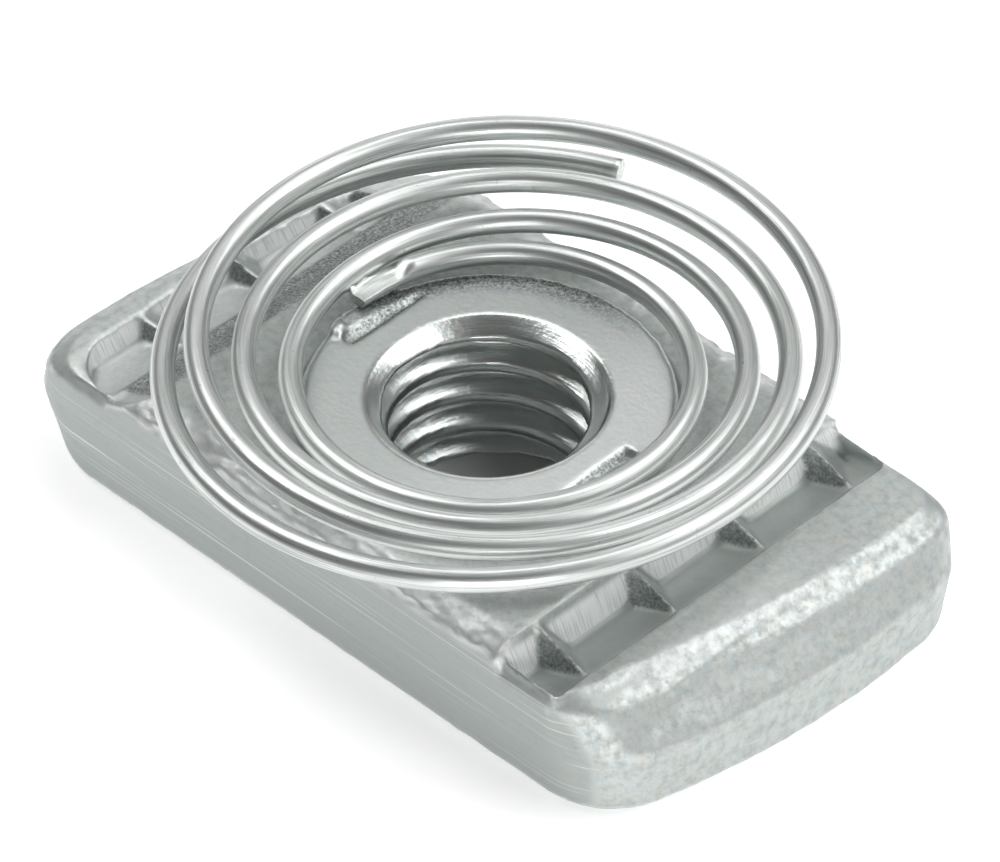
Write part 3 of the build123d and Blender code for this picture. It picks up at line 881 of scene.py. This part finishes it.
def zinc_wire(finish):
    """Zinc electroplate on drawn spring wire.

    Tells as a bright silver round with fine streaks along it from the die, and small dull pits.
    """
    material, tree = new_material("zinc_plate_on_drawn_wire")
    place = add(tree, "ShaderNodeAttribute", {"attribute_name": "wire"}).outputs["Vector"]
    # die lines: a few millimetres long, a tenth of a millimetre apart
    along = add(tree, "ShaderNodeMapping", {"vector_type": "POINT"}, {"Scale": (1 / 6, 1 / 0.11, 1 / 0.11)},
                {"Vector": place}).outputs["Vector"]
    streaks = add(tree, "ShaderNodeTexNoise", values={"Scale": 1.0, "Detail": 3.0, "Roughness": 0.6},
                  links={"Vector": along}).outputs["Fac"]
    spots = add(tree, "ShaderNodeTexNoise", values={"Scale": 1 / 0.3, "Detail": 3.0, "Roughness": 0.6},
                links={"Vector": place}).outputs["Fac"]
    pits = add(tree, "ShaderNodeMapRange", values={"From Min": 0.67, "From Max": 0.78, "To Max": 0.6},
               links={"Value": spots}).outputs["Result"]
    hues = add(tree, "ShaderNodeValToRGB", links={"Fac": streaks})
    ramp = hues.color_ramp
    ramp.elements[0].position, ramp.elements[0].color = 0.30, linear(finish.drawn_hex)
    ramp.elements[1].position, ramp.elements[1].color = 0.56, linear(finish.wire_hex)
    colour = add(tree, "ShaderNodeMix", {"data_type": "RGBA"}, {"B": linear(finish.dull_and_shade_hex)},
                 {"Factor": pits, "A": hues.outputs["Color"]}).outputs["Result"]
    smoothest = finish.wire_roughness
    rough = add(tree, "ShaderNodeMapRange", links={"Value": streaks},
                values={"From Min": 0.3, "From Max": 0.7, "To Min": smoothest + 0.12,
                        "To Max": smoothest}).outputs["Result"]
    groove = add(tree, "ShaderNodeBump", values={"Strength": 1.0, "Distance": 0.010 * MM},
                 links={"Height": streaks})
    shader = add(tree, "ShaderNodeBsdfPrincipled", values={"Metallic": 1.0},
                 links={"Base Color": colour, "Roughness": rough, "Normal": groove.outputs["Normal"]})
    add(tree, "ShaderNodeOutputMaterial", links={"Surface": shader.outputs["BSDF"]})
    return material


def pale_paper(studio):
    """Matt white paper on a light table: an even pale ground with hardly a shadow.

    The table is dark under the nut itself, and the paper greyer, so the bore looks onto shade.
    """
    material, tree = new_material("paper_ground")
    place = add(tree, "ShaderNodeTexCoord").outputs["Object"]
    away = add(tree, "ShaderNodeVectorMath", {"operation": "LENGTH"}, links={0: place}).outputs["Value"]
    clear = add(tree, "ShaderNodeMapRange", values={"From Min": 6 * MM, "From Max": 9 * MM},
                links={"Value": away}).outputs["Result"]
    lit = add(tree, "ShaderNodeMath", {"operation": "MULTIPLY"}, {1: studio.table_glow}, {0: clear}).outputs[0]
    # painted shade: the paper's colour goes grey under the nut
    sheet = add(tree, "ShaderNodeMix", {"data_type": "RGBA"},
                {"A": linear(studio.shade_hex), "B": linear(studio.floor_hex)}, {"Factor": clear}).outputs["Result"]
    shader = add(tree, "ShaderNodeBsdfPrincipled",
                 values={"Roughness": 0.9, "Specular IOR Level": 0.1, "Emission Color": linear(studio.floor_hex)},
                 links={"Base Color": sheet, "Emission Strength": lit})
    add(tree, "ShaderNodeOutputMaterial", links={"Surface": shader.outputs["BSDF"]})
    return material


# ---------------------------------------------------------------- studio


def out_to(azimuth, elevation):
    """Unit direction from the nut; azimuth counts from -Y towards +X."""
    level = math.cos(elevation)
    return Vector((math.sin(azimuth) * level, -math.cos(azimuth) * level, math.sin(elevation)))


def turned(direction):
    """Rotation that points an object's -Z the opposite way to direction."""
    return direction.to_track_quat("Z", "Y").to_euler()


# name, turn from the far side and height above the horizon in degrees, side in metres
SOFTBOXES = (
    ("back_low", 0, 14, 0.40),
    ("back_high", 5, 64, 0.26),
    ("back_right_high", -60, 56, 0.36),
    ("right_high", -100, 50, 0.35),
    ("back_left_high", 55, 56, 0.30),
    ("right_low", -102, 16, 0.40),
    ("front_low", 180, 10, 0.35),
    ("front_right", -135, 30, 0.35),
)


def softbox(name, azimuth, elevation, distance, size, power):
    """A square soft light that faces the nut."""
    direction = out_to(math.radians(azimuth), math.radians(elevation))
    light = bpy.data.lights.new(name, "AREA")
    light.size = size
    light.energy = power
    made = bpy.data.objects.new(name, light)
    made.location = direction * distance
    made.rotation_euler = turned(direction)
    bpy.context.scene.collection.objects.link(made)
    return made


def camera(studio):
    """Long lens from the front right, above."""
    roll = studio.roll
    back = out_to(studio.azimuth, studio.elevation)
    level = Vector((math.cos(studio.azimuth), math.sin(studio.azimuth), 0))
    rise = back.cross(level)
    right = level * math.cos(roll) + rise * math.sin(roll)
    up = rise * math.cos(roll) - level * math.sin(roll)
    lens = bpy.data.cameras.new("camera")
    lens.sensor_fit = "HORIZONTAL"
    lens.sensor_width = 36
    lens.lens = studio.focal_length
    lens.clip_start = 0.01
    made = bpy.data.objects.new("camera", lens)
    turn = Matrix((right, up, back)).transposed().to_4x4()
    made.matrix_world = Matrix.Translation(Vector(studio.aim) + back * studio.distance) @ turn
    bpy.context.scene.collection.objects.link(made)
    bpy.context.scene.camera = made


class SPRINGNUT_OT_studio(bpy.types.Operator):
    """Set out the paper ground, soft lights and camera"""

    bl_idname = "springnut.studio"
    bl_label = "Studio"

    def execute(self, context):
        studio = context.scene.spring_nut_studio
        bm = bmesh.new()
        bmesh.ops.create_grid(bm, x_segments=1, y_segments=1, size=studio.floor_size / 2)
        bmesh.ops.translate(bm, vec=(0, 0, NUT_LOW.z - 0.02 * MM), verts=bm.verts)
        make_object("paper_ground", bm, pale_paper(studio))
        far = math.degrees(studio.azimuth) + 180
        for name, turn, rise, size in SOFTBOXES:
            softbox(name, far + turn, rise, studio.light_distance, size, getattr(studio, name))
        world = bpy.data.worlds.new("soft_room")
        world.use_nodes = True
        world.node_tree.nodes.clear()
        light = add(world.node_tree, "ShaderNodeBackground",
                    values={"Color": linear(studio.room_hex), "Strength": studio.room_light})
        add(world.node_tree, "ShaderNodeOutputWorld", links={"Surface": light.outputs["Background"]})
        context.scene.world = world
        context.scene.view_settings.view_transform = "Standard"
        camera(studio)
        return {"FINISHED"}


class SPRINGNUT_PT_panel(bpy.types.Panel):
    """Lists the spring nut's pieces and sizes"""

    bl_idname = "SPRINGNUT_PT_panel"
    bl_label = "Spring nut"
    bl_space_type = "VIEW_3D"
    bl_region_type = "UI"
    bl_category = "Spring nut"

    def draw(self, context):
        layout = self.layout
        for operator in (SPRINGNUT_OT_nut_body, SPRINGNUT_OT_cone_spring, SPRINGNUT_OT_studio):
            layout.operator(operator.bl_idname)
        for name in SETTINGS:
            group = getattr(context.scene, name)
            box = layout.box()
            for key in group.bl_rna.properties.keys():
                if key not in ("rna_type", "name"):
                    box.prop(group, key)


SETTINGS = {"spring_nut": NutSettings, "spring_nut_wire": SpringSettings,
            "spring_nut_finish": FinishSettings, "spring_nut_studio": StudioSettings}
CLASSES = (*SETTINGS.values(), SPRINGNUT_OT_nut_body, SPRINGNUT_OT_cone_spring, SPRINGNUT_OT_studio,
           SPRINGNUT_PT_panel)


def register():
    """Adds the settings, operators and panel."""
    for kind in CLASSES:
        bpy.utils.register_class(kind)
    for name, kind in SETTINGS.items():
        setattr(bpy.types.Scene, name, PointerProperty(type=kind))


def unregister():
    """Takes them away again."""
    for name in SETTINGS:
        delattr(bpy.types.Scene, name)
    for kind in reversed(CLASSES):
        bpy.utils.unregister_class(kind)


def main():
    """Builds the nut, its spring and the studio."""
    register()
    bpy.ops.springnut.nut_body()
    bpy.ops.springnut.cone_spring()
    bpy.ops.springnut.studio()


if __name__ == "__main__":
    main()
